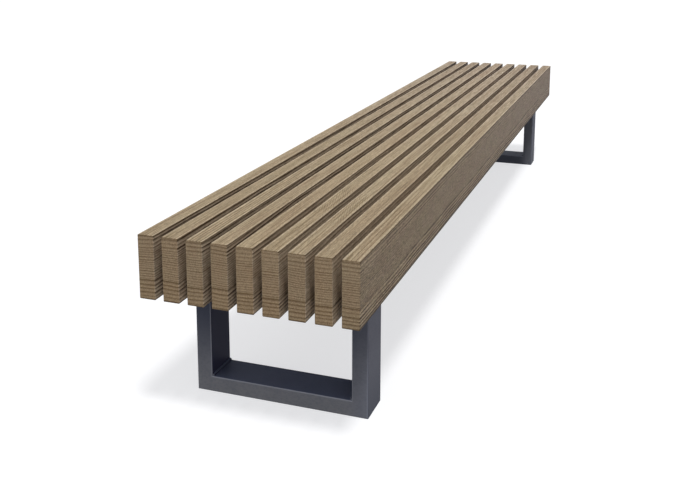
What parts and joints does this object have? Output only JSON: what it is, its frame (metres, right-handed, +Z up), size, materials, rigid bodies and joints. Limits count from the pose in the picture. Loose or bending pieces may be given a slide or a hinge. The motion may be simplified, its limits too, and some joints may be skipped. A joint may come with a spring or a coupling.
{
  "type": "backless bench",
  "caption": "Long backless street bench: timber slats set on edge with open gaps, carried near both ends by closed loop legs of rectangular steel tube.",
  "frame": {"origin": "on the ground, under the middle of the seat", "axes": "+X along the bench, +Y from its front to its rear, +Z up"},
  "size_m": [3, 0.52, 0.45],
  "materials": {
    "timber": "oiled, fine straight grain, pale brown-grey",
    "coated_steel": "satin powder coat, anthracite",
    "fastener_steel": "plain stainless steel",
    "insert_brass": "plain turned brass"
  },
  "bodies": {
    "root": {"slat_1": "timber", "slat_2": "timber", "slat_3": "timber", "slat_4": "timber", "slat_5": "timber", "slat_6": "timber", "slat_7": "timber", "slat_8": "timber", "slat_9": "timber", "left_leg_front_upright": "coated_steel", "left_leg_rear_upright": "coated_steel", "left_leg_ground_rail": "coated_steel", "left_leg_top_plate": "coated_steel", "left_leg_anchor_bushes": "fastener_steel", "right_leg_front_upright": "coated_steel", "right_leg_rear_upright": "coated_steel", "right_leg_ground_rail": "coated_steel", "right_leg_top_plate": "coated_steel", "right_leg_anchor_bushes": "fastener_steel", "tie_bar": "coated_steel", "left_leg_bolts": "fastener_steel", "left_leg_washers": "fastener_steel", "left_leg_inserts": "insert_brass", "right_leg_bolts": "fastener_steel", "right_leg_washers": "fastener_steel", "right_leg_inserts": "insert_brass", "tie_bar_bolts": "fastener_steel", "tie_bar_washers": "fastener_steel", "tie_bar_inserts": "insert_brass"}
  },
  "joints": []
}
